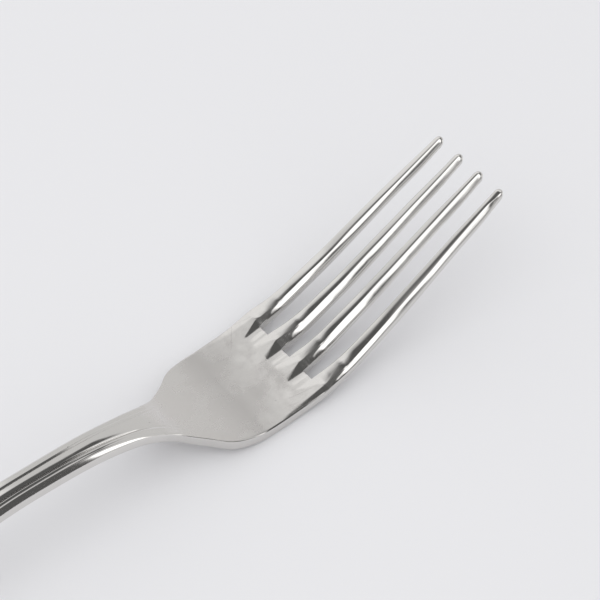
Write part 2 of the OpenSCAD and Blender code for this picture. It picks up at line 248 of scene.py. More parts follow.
class Shape:
    """The fork's faces as functions of place, in millimetres."""

    def __init__(self, p):
        self.p = p
        self.thick_points = [
            (REAR_X, p.end_thick),
            (END_X, (p.end_thick + p.stem_thick) / 2),
            (CREST_X, p.stem_thick),
            ((NECK_X + PLATE_X) / 2, p.neck_thick),
            (PLATE_X + PLATE_L / 6, (p.neck_thick + p.bowl_thick) / 2),
            (BOWL_X, p.bowl_thick),
            (SLOT_X, p.root_thick),
            (TIP_X, p.tip_thick),
        ]
        # Pairs of a share of the way along and a share of the change in height or width.
        fall = ((0.22, 0.16), (0.4, 0.4), (0.65, 0.73), (0.88, 0.95), (1, 1))
        dip = (
            (0.18, 0.96), (0.32, 0.9), (0.42, 0.82), (0.53, 0.68), (0.61, 0.515), (0.7, 0.29),
            (0.81, 0.12), (0.93, 0.01), (1, 0),
        )
        lift = (
            (0.08, 0.007), (0.15, 0.031), (0.2, 0.054), (0.25, 0.082), (0.3, 0.116), (0.35, 0.158),
            (0.43, 0.24), (0.52, 0.345), (0.68, 0.56), (0.85, 0.79), (1, 1),
        )
        self.top_points = (
            [(REAR_X, p.end_thick), (FOOT_X, curve(self.thick_points, FOOT_X))]
            + [(mix(REAR_X, CREST_X, a), mix(p.end_thick, p.crest, b)) for a, b in fall]
            + [(mix(CREST_X, BOWL_X, a), mix(p.bowl_thick, p.crest, b)) for a, b in dip]
            + [(mix(BOWL_X, TIP_X, a), mix(p.bowl_thick, p.tip_height, b)) for a, b in lift]
        )
        taper = ((0, 1), (0.2, 0.9), (0.42, 0.52), (0.64, 0.2), (0.84, 0.03), (1, 0))
        flare = ((0.36, 0.005), (0.68, 0.03), (0.87, 0.06), (1, 0.12))
        shoulder = (
            (0.08, 0.2), (0.15, 0.34), (0.22, 0.5), (0.33, 0.78), (0.46, 0.91), (0.62, 0.955),
            (0.82, 0.965), (1, 1),
        )
        stem_x = NECK_X - NECK_L / 4
        self.half_points = (
            [(mix(WIDE_X, stem_x, a), mix(p.stem_width, p.handle_width, b) / 2) for a, b in taper]
            + [(mix(stem_x, PLATE_X, a), mix(p.stem_width, p.head_width, b) / 2) for a, b in flare]
            + [(mix(PLATE_X, SLOT_X, a), mix(p.stem_width, p.head_width, b) / 2) for a, b in shoulder]
        )
        self.root_w = (p.head_width - 3 * p.slot_width) / 4
        slim = (
            (0, 1), (0.1, 0.89), (0.2, 0.82), (0.37, 0.73), (0.53, 0.61), (0.7, 0.44), (0.86, 0.27),
            (0.95, 0.06), (1, 0),
        )
        self.slim_points = [(mix(SLOT_X, TIP_X, a), mix(p.tip_width, self.root_w, b) / 2) for a, b in slim]
        self.inner_y = (p.slot_width + self.root_w) / 2
        self.outer_y = 3 * self.inner_y

    def thick(self, x):
        """Thickness along the middle."""
        return curve(self.thick_points, x)

    def top(self, x):
        """Height of the top along the middle."""
        return curve(self.top_points, x)

    def low(self, x):
        """Height of the underside, which has a slight belly where the head rests."""
        if x < FOOT_X:
            return 0.0
        reach = PLATE_L / 8
        belly = min(abs(x - BOWL_X), reach) ** 2 / (2 * BELLY_R)
        return max(self.top(x) - self.thick(x), belly)

    def half(self, x):
        """Half of the width."""
        return curve(self.half_points, max(x, WIDE_X))

    def width_share(self, x):
        """The width as a share of the head's widest width."""
        return self.half(x) / (self.p.head_width / 2)

    def face(self, x, y):
        """Height of the top face, without threads and slots: crowned on the handle, hollow on the head."""
        p = self.p
        v = (p.swell + p.dish) * rise(x, PLATE_X - NECK_L / 3, SLOT_X) - p.swell
        return self.top(x) + v * ((y / self.half(x)) ** 2 - (1 if v > 0 else 0))

    def thread_share(self, x):
        """1 along the handle, where the threads are full, and 0 on the head."""
        return 1 - rise(x, PLATE_X - NECK_L / 3, PLATE_X + PLATE_L / 7)

    def side_share(self, x):
        """1 along the handle, where the sides are fully rounded, and 0 on the head."""
        return 1 - rise(x, NECK_X + NECK_L / 2, PLATE_X + PLATE_L / 3)

    def slot_share(self, x):
        """How far the shoulders beside the slots have grown."""
        return ramp(x, SLOT_X - RAMP_L, SLOT_X + RING / 2)

    def edge_share(self, x):
        """How far the shoulder along the head's edge has grown, over nearly half of the plate."""
        length = PLATE_L * 0.45
        return ramp(x, SLOT_X - length, SLOT_X + RING / 2)

    def side(self, x):
        """Size across and down of the rounded top edge."""
        p, s = self.p, self.side_share(x)
        return mix(p.edge, p.side_width, s), mix(p.edge, p.side_height, s)

    def foot_edge(self, x):
        """Size across and up of the rounded bottom edge, on the handle a share of the top edge's."""
        p, s, share = self.p, self.side_share(x), 0.6
        return mix(p.base, p.side_width * share, s), mix(p.base, p.side_height * share, s)

    def thread_raw(self, s, reach):
        """Depth of the threads at a distance s in from the side, where the middle is at reach."""
        p = self.p
        a, b, c, d = p.side_width, p.rim, p.cove, p.flank
        if s <= a + b:
            return p.rim_depth + p.bead * (1 - ramp(s, a + b - p.line, a + b))
        if s <= a + b + c:
            u = 1 - (s - a - b) / c
            return p.rim_depth + (p.groove - p.rim_depth) * (1 - u) * (1 - u / 3)
        w = reach - a - b - c - d
        if s <= a + b + c + d:
            u = (s - a - b - c) / d
            return mix(p.groove, p.crown, soft(u))
        return p.crown * ((reach - s) / w) ** 2

    def thread(self, s, reach):
        """The same, slightly rounded by polishing: the mean of places around s."""
        step = 0.03
        around = [min(max(s + k * step, 0), reach) for k in (-2, -1, 0, 1, 2)]
        return sum(self.thread_raw(q, reach) for q in around) / len(around)

    def slope_down(self, gap, width, way):
        """Depth of a sloping shoulder at a distance gap in from its edge. way is 1 where it faces left."""
        t, roundness = 1 - ramp(gap, 0, width), 0.15
        fall = roundness * (1 - math.cos(math.pi / 2 * t)) + (1 - roundness) * t
        return (FAR_SHOULDER if way > 0 else 1) * self.p.ease * width * fall

    def slot_lines(self, x, side):
        """The lines along which the tines' sides run on over the plate, and the widths of the shoulders
        beside them: two of the inner tine and two of the outer one, from the middle outwards. side is
        1 on the fork's left."""
        root, wing = ROOTS[side]
        sides = [y + w * self.root_w / 2 for y in (self.inner_y, self.outer_y) for w in (-1, 1)]
        return [y * self.width_share(x) for y in sides], [*SHOULDERS[root][::side], *SHOULDERS[wing][::side]]

    def slot_depth(self, x, y, side):
        """Depth of the shoulders beside the slots and along the edge. side is 1 on the fork's left."""
        s, e = self.slot_share(x), self.edge_share(x)
        (first, near, far, _), (a, b, c, d) = self.slot_lines(x, side)
        y = abs(y)
        if y > self.outer_y * self.width_share(x):
            return self.slope_down(self.half(x) - y, d * e, side) if e > 0 else 0.0
        if s <= 0:
            return 0.0
        if y < (first + near) / 2:
            gap, way, wide = y - first, -side, a
        elif near - y > y - far:
            gap, way, wide = near - y, side, b
        else:
            gap, way, wide = y - far, -side, c
        return self.slope_down(gap, wide * max(s, LEAST_SHARE), way)

    def tine_half(self, x):
        """Half of a tine's width."""
        return curve(self.slim_points, x) * self.nose_share(x)

    def nose_share(self, x):
        """1 along a tine, falling round its tip, which is left slightly blunt."""
        blunt = 0.97
        return math.sqrt(max(1 - (ramp(x, TIP_X - NOSE_L, TIP_X) * blunt) ** 2, 0))

    def middle(self, x, outer):
        """Distance of a tine's middle from the fork's."""
        root = self.outer_y if outer else self.inner_y
        tip = (self.p.outer_gap if outer else self.p.inner_gap) / 2
        shares = (0, 0.12, 0.26, 0.6, 1) if outer else (0, 0.5, 0.74, 0.93, 1)
        points = [(mix(SLOT_X, TIP_X, a), s) for a, s in zip((0, 0.2, 0.37, 0.69, 1), shares)]
        return mix(root, tip, curve(points, x))


# ---------------------------------------------------------------- cross-sections


def spread(a, b, n):
    """n + 1 even steps from a to b."""
    return [a + (b - a) * i / n for i in range(n + 1)]


def bar_section(shape, x, y0, inward, reach):
    """Half of a section of the handle: from its middle over the top to the underside's middle.
    y0 is the side's place, and inward the direction from there to the middle, both in plan."""
    p = shape.p
    side_a, side_b = shape.side(x)
    base_a, base_b = shape.foot_edge(x)
    g = shape.thread_share(x)
    rim_in = p.side_width + p.rim
    valley = rim_in + p.cove
    inner = valley + p.flank
    stations = (
        spread(reach, inner, 14)[:-1]
        + spread(inner, valley, 7)[:-1]
        + spread(valley, rim_in, 9)[:-1]
        + spread(rim_in, rim_in - p.line, 4)[:-1]
        + spread(rim_in - p.line, side_a, 3)
    )

    def at(s):
        """The place at a distance s in from the side, in plan."""
        return x + inward[0] * s, y0 + inward[1] * s

    def top(s):
        return shape.face(*at(s)) - g * shape.thread(s, reach)

    thick = shape.top(x) - shape.low(x)
    most_down, most_up, flat_corner = 0.6, 0.35, 0.35
    down = min(side_b, (thick - p.rim_depth * g) * most_down)
    up = min(base_b, thick * most_up)
    form = mix(1, flat_corner, shape.side_share(x))
    out = [(*at(s), top(s)) for s in stations]
    for i in range(1, 13):
        across, fall = corner(i / 12, side_a, down, form)
        out.append((*at(side_a - across), top(side_a - across) + fall))
    for i in range(10, -1, -1):
        across, fall = corner(i / 10, base_a, up, 1)
        out.append((*at(base_a - across), shape.low(at(base_a)[0]) - fall))
    return out + [(*at(s), shape.low(at(s)[0])) for s in spread(base_a, reach, 4)[1:]]


def straight_section(shape, x):
    """Half of a section of the handle or neck, straight across."""
    return bar_section(shape, x, shape.half(x), (0, -1), shape.half(x))


def plate_section(shape, x, side):
    """Half of a section of the plate, from its middle over the top to the underside's middle.
    side is 1 for the fork's left half."""
    half = shape.half(x)
    side_a, side_b = shape.side(x)
    base_a, base_b = shape.foot_edge(x)
    g = shape.thread_share(x)
    (first, near, far, _), widths = shape.slot_lines(x, side)
    share = max(shape.slot_share(x), LEAST_SHARE)
    just_under_half = 0.48
    most = shape.root_w * shape.width_share(x) * just_under_half
    a, b, c = (min(q * share, most) for q in widths[:3])
    ys = (
        spread(0, first, 4)[:-1]
        + spread(first, first + a, 9)[:-1]
        + spread(first + a, near - b, 4)[:-1]
        + spread(near - b, near, 9)[:-1]
        + spread(near, far, 8)[:-1]
        + spread(far, far + c, 9)[:-1]
        + spread(far + c, half - side_a, 12)
    )
    low = shape.low(x)

    def top(y):
        return shape.face(x, y) - g * shape.thread(half - y, half) - shape.slot_depth(x, y, side)

    out = [(x, y, top(y)) for y in ys]
    edge = out[-1][2] - shape.face(x, half - side_a)
    for i in range(1, 15):
        across, fall = corner(i / 14, side_a, side_b, 1)
        y = half - side_a + across
        out.append((x, y, shape.face(x, y) + edge + fall))
    for i in range(10, -1, -1):
        across, fall = corner(i / 10, base_a, base_b, 1)
        out.append((x, half - base_a + across, low - fall))
    return out + [(x, y, low) for y in spread(half - base_a, 0, 8)[1:]]


# Where the ground top of each tine turns, in millimetres towards +Y from the tine's middle: where
# its far flank begins, where its near flank begins, and where the near flank ends.
TOP_X = (51, 52.3, 53.4, 54.6, 57, 58, 59, 61, 64, 68, 72, 76, 80, 84, 88, 92, 96, 98, 100)
TOP_TURNS = {
    "tine_outer_left": (
        (-0.65, -0.6, -0.55, -0.45, -0.12, -0.05, 0.02, 0.1, 0.15, 0.18,
         0.18, 0.28, 0.28, 0.25, 0.15, 0.1, 0.05, 0, 0),
        (-0.85, -0.85, -0.9, -0.95, -0.8, -0.71, -0.62, -0.52, -0.38, -0.4,
         -0.38, -0.15, -0.1, -0.08, -0.1, -0.08, -0.1, -0.1, 0),
        (-2.1, -2.0, -1.92, -1.8, -1.62, -1.56, -1.5, -1.38, -1.24, -1.08,
         -1.0, -1.0, -0.94, -0.82, -0.64, -0.38, -0.26, -0.2, -0.1),
    ),
    "tine_inner_left": (
        (-0.15, -0.05, 0.1, 0.28, 0.48, 0.52, 0.55, 0.65, 0.75, 0.75,
         0.65, 0.55, 0.38, 0.28, 0.25, 0.18, 0.12, 0.1, 0.05),
        (-0.35, -0.35, -0.45, -0.7, -0.62, -0.54, -0.46, -0.32, -0.14, -0.06,
         0.04, 0.08, 0.06, 0.1, 0.08, 0, -0.02, 0, 0),
        (-2.1, -2.0, -1.92, -1.85, -1.65, -1.6, -1.55, -1.42, -1.3, -1.02,
         -0.85, -0.9, -0.78, -0.66, -0.46, -0.28, -0.18, -0.12, -0.08),
    ),
    "tine_inner_right": (
        (-0.35, -0.25, -0.08, 0.15, 0.4, 0.46, 0.52, 0.65, 0.68, 0.65,
         0.55, 0.42, 0.36, 0.34, 0.4, 0.4, 0.35, 0.3, 0.2),
        (-0.55, -0.5, -0.6, -0.8, -0.65, -0.55, -0.44, -0.25, -0.1, -0.03,
         0.04, 0.04, 0.06, 0.1, 0.12, 0.16, 0.15, 0.1, 0.05),
        (-2.1, -2.0, -1.88, -1.7, -1.54, -1.5, -1.46, -1.36, -1.24, -1.18,
         -1.14, -0.92, -0.74, -0.54, -0.42, -0.26, -0.08, -0.05, -0.02),
    ),
    "tine_outer_right": (
        (-0.85, -0.72, -0.45, -0.05, 0.26, 0.33, 0.4, 0.46, 0.56, 0.75,
         0.86, 0.86, 0.74, 0.7, 0.68, 0.5, 0.3, 0.25, 0.2),
        (-1.05, -1.05, -1.15, -1.3, -1.15, -1.06, -0.98, -0.8, -0.6, -0.42,
         -0.27, -0.2, -0.18, -0.06, 0, 0, -0.1, -0.5, -0.5),
        (-2.1, -2.0, -1.9, -1.75, -1.72, -1.7, -1.68, -1.56, -1.4, -1.16,
         -0.95, -0.84, -0.82, -0.66, -0.5, -0.34, -0.28, -0.58, -0.58),
    ),
}
# The slopes there, in degrees down towards -Y, with the slope at the far edge first.
TOP_SLOPES = (
    (-5, -6, -8, -12, -18, -19, -20, -21, -22, -24,
     -24, -25, -25, -25, -25, -25, -25, -25, -25),
    (2, 2, 2, 2, 0, -4, -8, -14, -17, -17,
     -17, -17, -17, -17, -17, -17, -17, -17, -17),
    (11, 12, 13, 14, 14.5, 12, 10.5, 9.2, 8.5, 5,
     2.5, 2, 2, 2, 2, 2, 2, 2, 2),
    (14, 14, 14, 24, 37, 37.5, 38, 38, 38, 37,
     30, 21, 22, 24, 24, 24, 24, 24, 24),
)
# The tines whose far flank stays steep up to the near one.
ROLLED_OUT = ("tine_outer_right",)


def at_x(values, x):
    """Value of one row of a table at x."""
    return curve(list(zip(TOP_X, values)), min(max(x, TOP_X[0]), TOP_X[-1]))


def ground_top(x, node, h, nose):
    """Two lists of points (y, drop below the ridge) from a tine's ridge out to its far and near side.
    h is half of the tine's width."""
    at_far, at_back, at_start, at_end = (at_x(row, x) for row in TOP_SLOPES)
    turn_back, turn_start, turn_end = (at_x(row, x) * nose for row in TOP_TURNS[node])
    shift_grows, shift_goes = (SLOT_X + 6, SLOT_X + 14), (TIP_X - 14, TIP_X - 4)
    shift = TOP_SHIFT * rise(x, *shift_grows) * (1 - rise(x, *shift_goes))
    far, near = h + shift * nose, shift * nose - h
    smallest = 0.08
    grown = mix(smallest, 1, rise(x, SLOT_X, SLOT_X + GROUND_L))

    def rounding(widest, share):
        """Width of a rounded edge, where share is of the tine's half width."""
        return min(widest, h * share) * grown

    # Least distance between two turns of the slope.
    least = 0.08 * nose
    edge = rounding(0.34, 0.3)
    end = max(turn_end, near + rounding(0.22, 0.2))
    start = max(turn_start, end + least)
    back = min(max(turn_back, start + least), far - edge - least)
    # The slope turns soon past the start of the near flank, and then stays nearly the same.
    soon, most = 0.22, 0.78
    middle = (mix(start, back, soon), mix(at_start, at_back, most))
    if node in ROLLED_OUT:
        held, mild, full = 0.76, 2, 16
        middle = (middle[0], mix(middle[1], at_back * held, ramp(-at_back, mild, full)))
    # Places from the far to the near side, each with its slope in degrees.
    knots = (
        (far - edge, at_far),
        (min(back + 0.18, (back + far - edge) / 2), at_far * 0.85),
        (back, at_back),
        middle,
        (start, at_start),
        (mix(start, end, 0.12), mix(at_start, at_end, 0.4)),
        (end, at_end),
    )

    def slope(y):
        """Slope down towards -Y, in radians."""
        for (a, p), (b, q) in zip(knots, knots[1:]):
            if y >= b:
                break
        return math.radians(p + (q - p) * min(max((a - y) / (a - b), 0), 1))

    low, high = (start, back) if at_back < 0 < at_start else (back, far - edge)
    ridge = next((y for y in spread(high, low, 24) if slope(y) >= 0), low)

    def walk(way, stop, side):
        """Points from the ridge down to stop, and on round the edge to the side."""
        out, drop, y = [(ridge, 0.0)], 0.0, ridge
        for q in spread(ridge, stop, 10)[1:]:
            drop += math.tan(slope((y + q) / 2)) * (y - q)
            y = q
            out.append((y, drop))
        first = math.atan(abs(math.tan(slope(stop))) / EDGE_FORM)
        reach = abs(side - stop) / (1 - math.sin(first))
        for i in range(1, 9):
            t = first + (math.pi / 2 - first) * i / 8
            fall = EDGE_FORM * reach * (math.cos(first) - math.cos(t))
            out.append((stop + way * reach * (math.sin(t) - math.sin(first)), drop + fall))
        return out

    return walk(1, far - edge, far), walk(-1, end, near)


def tine_ring(shape, x, node, side, outer):
    """A closed section of a tine. side is 1 on the fork's left and -1 on its right."""
    p = shape.p
    y0 = side * shape.middle(x, outer)
    h = shape.tine_half(x)
    nose = shape.nose_share(x)
    f = p.tip_thick * (1 - nose) / 2
    low = shape.low(x) + f
    thick = shape.top(x) - f - low
    blend = rise(x, SLOT_X, SLOT_X + HOLLOW_L)
    ground = rise(x, SLOT_X, SLOT_X + CHANGE_L)

    def top(y):
        return shape.face(SLOT_X, mix(y, y0, blend)) - shape.top(SLOT_X) + shape.top(x) - f

    def flank(way, cut):
        """Points from the top's middle to the bottom's middle on one side. The shoulder that runs on
        from the plate gives way to the ground top, whose points are in cut."""
        wing = outer and way == side
        e = p.edge if wing else 0.0
        a = SHOULDERS[node][way > 0] * (shape.edge_share(x) if wing else shape.slot_share(x))
        vs = spread(0, h - a, 4)[:-1] + spread(h - a, h - e, 6)
        rows = [(y0 + way * v, top(y0 + way * v) - shape.slope_down(h - v, a, way)) for v in vs]
        drop = rows[-1][1] - top(rows[-1][0])
        for i in range(1, 9):
            across, fall = corner(i / 8, e, e, 1)
            y = y0 + way * (h - e + across)
            rows.append((y, top(y) + drop + fall))
        deepest, tiny, most_up = thick * 0.72, 0.001, 0.25
        depth = min(1.0, deepest / max(cut[-1][1], tiny))
        rows = [
            (mix(y, y0 + v, ground), mix(z, top(y0) - fall * depth, ground))
            for (y, z), (v, fall) in zip(rows, cut)
        ]
        half = abs(rows[-1][0] - y0)
        q, d = min(p.base, h / 2), min(p.base, thick * most_up)
        for i in range(6, -1, -1):
            across, fall = corner(i / 6, q, d, 1)
            rows.append((y0 + way * (half - q + across), low - fall))
        return rows + [(y0 + way * v, low) for v in spread(half - q, 0, 3)[1:]]

    far, near = ground_top(x, node, h, nose)
    left, right = flank(1, far), flank(-1, near)
    return [(x, y, z) for y, z in left + right[-2:0:-1]]


def mirrored(half, other=None):
    """A closed ring from a half section and its mirror image, or another half section's."""
    return half + [(x, -y, z) for x, y, z in (other or half)[-2:0:-1]]


# ---------------------------------------------------------------- meshes


def settle(verts, points):
    """Moves vertices to points that are given in millimetres."""
    for v, q in zip(verts, points):
        v.co = Vector(q) * MM


def follow(bm, chain, points, closed):
    """Extrudes a chain of vertices to new points and returns the new chain."""
    count = len(chain)
    pairs = [(i, (i + 1) % count) for i in range(count if closed else count - 1)]
    edges = [bm.edges.get((chain[a], chain[b])) for a, b in pairs]
    made = bmesh.ops.extrude_edge_only(bm, edges=edges)["geom"]
    new = set(e for e in made if isinstance(e, bmesh.types.BMVert))
    after = [next(e.other_vert(v) for e in v.link_edges if e.other_vert(v) in new) for v in chain]
    settle(after, points)
    return after


def skin(rows, closed):
    """A bmesh through rows of points, each of the same length."""
    bm = bmesh.new()
    if closed:
        chain = bmesh.ops.create_circle(bm, segments=len(rows[0]), radius=1)["verts"]
    else:
        chain = [bm.verts.new((0, 0, 0))]
        for _ in rows[0][1:]:
            step = bmesh.ops.extrude_vert_indiv(bm, verts=[chain[-1]])
            chain.append(step["verts"][0])
    settle(chain, rows[0])
    for row in rows[1:]:
        chain = follow(bm, chain, row, closed)
    return bm


def finish_piece(name, bm, keep, nodes, material):
    """Keeps the part of the mesh between two places along X, closes it, and makes it a piece.
    The cut-off rows only served to give the seams the same normals on both sides."""
    bmesh.ops.remove_doubles(bm, verts=bm.verts, dist=MERGE)
    bmesh.ops.recalc_face_normals(bm, faces=bm.faces)
    flow = bm.verts.layers.float_vector.new("flow")
    for v in bm.verts:
        v.normal_update()
        v[flow] = v.normal
    low, high = keep[0] * MM - SLACK, keep[1] * MM + SLACK
    bmesh.ops.delete(bm, geom=[v for v in bm.verts if not low <= v.co.x <= high], context="VERTS")
    for f in bm.faces:
        f.smooth = True
    ends = bmesh.ops.holes_fill(bm, edges=[e for e in bm.edges if e.is_boundary], sides=0)["faces"]
    for f in ends:
        f.smooth = False
    bm.faces.index_update()
    caps = set(f.index for f in ends)
    bmesh.ops.recalc_face_normals(bm, faces=ends)
    mesh = bpy.data.meshes.new(name)
    bm.to_mesh(mesh)
    bm.free()
    stored = [tuple(d.vector) for d in mesh.attributes["flow"].data]
    normals = [None] * len(mesh.loops)
    for poly in mesh.polygons:
        for i in poly.loop_indices:
            normals[i] = tuple(poly.normal) if poly.index in caps else stored[mesh.loops[i].vertex_index]
    mesh.attributes.remove(mesh.attributes["flow"])
    mesh.normals_split_custom_set(normals)
    piece = bpy.data.objects.new(name, mesh)
    bpy.context.scene.collection.objects.link(piece)
    piece.data.materials.append(material)
    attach(piece, "root")
    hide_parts(*nodes)
    return piece


def places(a, b, step, ghost_a=True, ghost_b=True):
    """Places along X from a to b, with one more beyond each end that has a neighbour."""
    n = max(2, math.ceil((b - a) / step))
    rows = spread(a, b, n)
    return ([a - step] if ghost_a else []) + rows + ([b + step] if ghost_b else [])


# ---------------------------------------------------------------- steel


class Value:
    """A number that varies over a surface. Expressions on it add Math nodes."""

    def __init__(self, nodes, socket):
        self.nodes, self.socket = nodes, socket

    def _with(self, operation, *others, flip=False):
        """The result of a Math node on this number and others, or with the first two swapped."""
        parts = [self, *others]
        if flip:
            parts = [parts[1], parts[0], *parts[2:]]
        return self.nodes.value("ShaderNodeMath", {"operation": operation}, *parts)

    def __add__(self, other):
        return self._with("ADD", other)

    def __sub__(self, other):
        return self._with("SUBTRACT", other)

    def __rsub__(self, other):
        return self._with("SUBTRACT", other, flip=True)

    def __mul__(self, other):
        return self._with("MULTIPLY", other)

    def __truediv__(self, other):
        return self._with("DIVIDE", other)

    __rmul__ = __mul__

    def apply(self, operation):
        """The result of a Math node with one input."""
        return self._with(operation)

    def least(self, other):
        """The smaller of two numbers."""
        return self._with("MINIMUM", other)

    def most(self, other):
        """The larger of two numbers."""
        return self._with("MAXIMUM", other)

    def band(self, a, b):
        """0 below a, 1 above b, and a smooth rise between them."""
        return self.nodes.value("ShaderNodeMapRange", {"interpolation_type": "SMOOTHSTEP"}, self, a, b, 0.0, 1.0)


class Nodes:
    """Adds nodes to one node tree."""

    def __init__(self, tree):
        self.tree = tree
        tree.nodes.clear()

    def feed(self, socket, value):
        """Links a value to a socket, or sets the socket to it."""
        if isinstance(value, Value):
            value = value.socket
        if isinstance(value, bpy.types.NodeSocket):
            self.tree.links.new(value, socket)
        elif value is not None:
            socket.default_value = value

    def add(self, kind, settings=None, *inputs, **named):
        """A node with settings, and with inputs by their order or by name."""
        node = self.tree.nodes.new(kind)
        for key, value in (settings or {}).items():
            setattr(node, key, value)
        for socket, value in zip(node.inputs, inputs):
            self.feed(socket, value)
        for key, value in named.items():
            self.feed(node.inputs[key.replace("_", " ")], value)
        return node

    def value(self, kind, settings=None, *inputs, **named):
        """The first output of a new node."""
        return Value(self, self.add(kind, settings, *inputs, **named).outputs[0])

    def mixed(self, share, a, b):
        """A colour between a and b."""
        node = self.add("ShaderNodeMix", {"data_type": "RGBA"})
        for index, value in ((0, share), (6, a), (7, b)):
            self.feed(node.inputs[index], value)
        return node.outputs[2]

    def noise(self, spot, scale, detail, roughness, distortion=0.0):
        """Cloudy noise at a spot."""
        named = {"Vector": spot, "Scale": scale, "Detail": detail, "Roughness": roughness, "Distortion": distortion}
        return self.value("ShaderNodeTexNoise", **named)

    def turned(self, spot, turn, scale, shift=(0, 0, 0)):
        """A spot shifted and turned round Z, then stretched."""
        point, still = {"vector_type": "POINT"}, (0, 0, 0)
        moved = self.add("ShaderNodeMapping", point, spot, shift, (0, 0, turn), (1, 1, 1))
        return self.add("ShaderNodeMapping", point, moved.outputs[0], still, still, scale).outputs[0]


def rgba(colour):
    """An opaque colour."""
    return (*colour, 1.0)


def steel_material(finish):
    """Stainless steel: polished handle and tines, and a head gone satin with use, with fine
    scratches, pits and water marks."""
    material = bpy.data.materials.new("stainless_steel")
    material.use_nodes = True
    n = Nodes(material.node_tree)
    here = n.add("ShaderNodeTexCoord").outputs["Object"]
    along = Value(n, n.add("ShaderNodeSeparateXYZ", None, here).outputs[0]) / MM
    facing = n.add("ShaderNodeTexCoord").outputs["Normal"]
    sideways = Value(n, n.add("ShaderNodeSeparateXYZ", None, facing).outputs[1]).apply("ABSOLUTE")
    head_share = along.band(NECK_X + NECK_L * 0.5, PLATE_X + PLATE_L * 0.25)
    head_share = head_share * (1 - along.band(SLOT_X - 7, SLOT_X + 4))
    satin_share = head_share * (1 - sideways.band(0.08, 0.2)) * 0.9 + 0.1

    # Clouds and patches in which the steel is dull, and its grain there.
    cloud = n.noise(here, 90.0, 3.0, 0.55)
    patch = n.noise(here, 260.0, 4.0, 0.6, 0.4)
    grain = n.noise(here, 1500.0, 2.0, 0.6)
    dull = cloud.band(0.38, 0.62) * 0.6 + patch.band(0.35, 0.7) * 0.4
    dull = (dull * satin_share + satin_share * 0.25).least(1.0)

    def hairs(turn, shift, low, high):
        """Fine straight scratches in one direction."""
        line = n.noise(n.turned(here, turn, (60, 5200, 60), shift), 1.0, 1.0, 0.5)
        gate = n.noise(n.turned(here, turn, (1, 1, 1), shift), 150.0, 1.0, 0.5)
        return line.band(low, high) * gate.band(0.5, 0.62)

    # Lengthwise lines of polish, scratches except on steep faces, pits, and rings left by water.
    polish = n.noise(n.turned(here, 0.0, (40, 4200, 400)), 1.0, 2.0, 0.6)
    level = 1 - sideways.band(0.25, 0.45)
    marks = hairs(0.25, (0.01, 0, 0), 0.66, 0.74)
    marks = marks.most(hairs(-0.9, (0.05, 0.03, 0), 0.68, 0.76))
    marks = marks.most(hairs(1.3, (0.02, 0.07, 0), 0.69, 0.77)) * level
    dots = n.value("ShaderNodeTexVoronoi", {"feature": "F1"}, Vector=here, Scale=420.0)
    rare = n.noise(here, 330.0, 1.0, 0.5)
    pits = (1 - dots.band(0.04, 0.09)) * rare.band(0.66, 0.72)
    film = n.noise(here, 46.0, 2.0, 0.5, 1.2)
    thin = 14.0
    ring = (1 - (film - 0.5) * thin * (film - 0.5) * thin).most(0.0) * satin_share

    # How far each kind of wear colours the steel, and how much it roughens it.
    pit_dark, water_pale = (0.12, 0.11, 0.1), (0.78, 0.76, 0.73)
    colour = n.mixed(dull * 0.8, rgba(finish.colour), rgba(finish.worn_colour))
    colour = n.mixed(pits * 0.75, colour, rgba(pit_dark))
    colour = n.mixed(ring * 0.12, colour, rgba(water_pale))
    rough = dull * (finish.satin - finish.gloss) + finish.gloss
    rough = (rough + marks * 0.12 + (grain - 0.5) * 0.08 + ring * 0.03 + pits * 0.2).most(0.04)

    # Depths in millimetres.
    pit_depth, polish_depth, brush_depth, grain_depth = 0.01, 0.0006, 0.0012, 0.0016
    height = (
        marks * (satin_share * 0.7 + 0.3) * -1.0 * finish.scratch
        + pits * -pit_depth
        + (polish - 0.5) * (polish_depth * level + brush_depth * satin_share)
        + (grain - 0.5) * grain_depth * satin_share
    )
    bump = n.add("ShaderNodeBump", None, Strength=1.0, Distance=MM, Height=height)
    surface = n.add("ShaderNodeBsdfPrincipled", None, Metallic=1.0, Roughness=rough)
    n.tree.links.new(colour, surface.inputs["Base Color"])
    n.tree.links.new(bump.outputs[0], surface.inputs["Normal"])
    n.add("ShaderNodeOutputMaterial", None, surface.outputs[0])
    return material


def steel():
    """The fork's steel, made once."""
    return bpy.data.materials.get("stainless_steel") or steel_material(bpy.context.scene.fork_finish)


# ---------------------------------------------------------------- operators


class BuildPart:
    """What the operators of the fork's pieces share"""

    bl_options = {"REGISTER", "UNDO"}

    @classmethod
    def poll(cls, context):
        return context.scene is not None

    def shape(self, context):
        return Shape(context.scene.fork_sizes)


class FORK_OT_handle_end(BuildPart, bpy.types.Operator):
    """Make the widened round end of the handle, with its threads running round the end"""

    bl_idname = "fork.handle_end"
    bl_label = "Handle end"

    def execute(self, context):
        shape = self.shape(context)
        wide = shape.half(WIDE_X)
        # The round end, in 30 steps a quarter, is slightly squarer than an ellipse.
        steps, power = 30, 2 / 2.2
        straight = places(WIDE_X, END_X, BAR_RING, ghost_a=False)[::-1]
        rows = [straight_section(shape, x) for x in straight]
        turn = []
        for i in range(1, 2 * steps):
            t = math.pi / 2 * (1 - i / steps)
            x = WIDE_X - CAP_L * abs(math.cos(t)) ** power
            y = wide * math.copysign(abs(math.sin(t)) ** power, t)
            d = Vector((WIDE_X - x, -y))
            turn.append(bar_section(shape, x, y, tuple(d.normalized()), d.length))
        back = [[(x, -y, z) for x, y, z in row] for row in rows[::-1]]
        bm = skin(rows + turn + back, closed=False)
        finish_piece("handle_end_steel", bm, (REAR_X - 1, END_X), ["handle_end"], steel())
        return {"FINISHED"}


